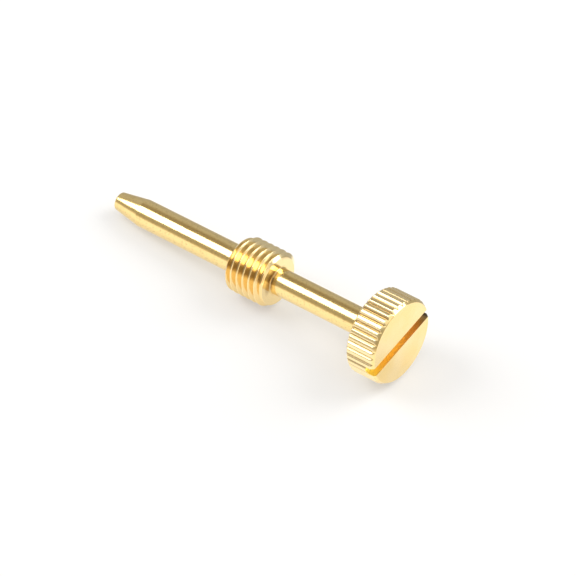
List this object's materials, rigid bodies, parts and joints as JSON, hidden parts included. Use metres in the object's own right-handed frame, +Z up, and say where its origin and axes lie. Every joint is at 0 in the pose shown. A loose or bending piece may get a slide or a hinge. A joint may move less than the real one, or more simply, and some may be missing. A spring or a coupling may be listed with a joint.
{
  "type": "adjusting screw",
  "caption": "Turned brass adjusting screw: slotted head with straight knurl, thin neck, short threaded collar and a plain pin with a tapered tip.",
  "frame": {"origin": "middle of the box's underside, on the surface that the screw lies on", "axes": "+Z up, +X level and towards the tapered tip, +Y to the left of that; the screw lies with its tip end 5.3 degrees down"},
  "size_m": [0.0364, 0.009, 0.0092],
  "materials": {
    "brass": "bright turned and knurled brass, lightly polished"
  },
  "bodies": {
    "root": {"adjusting_screw": "brass"}
  },
  "joints": []
}
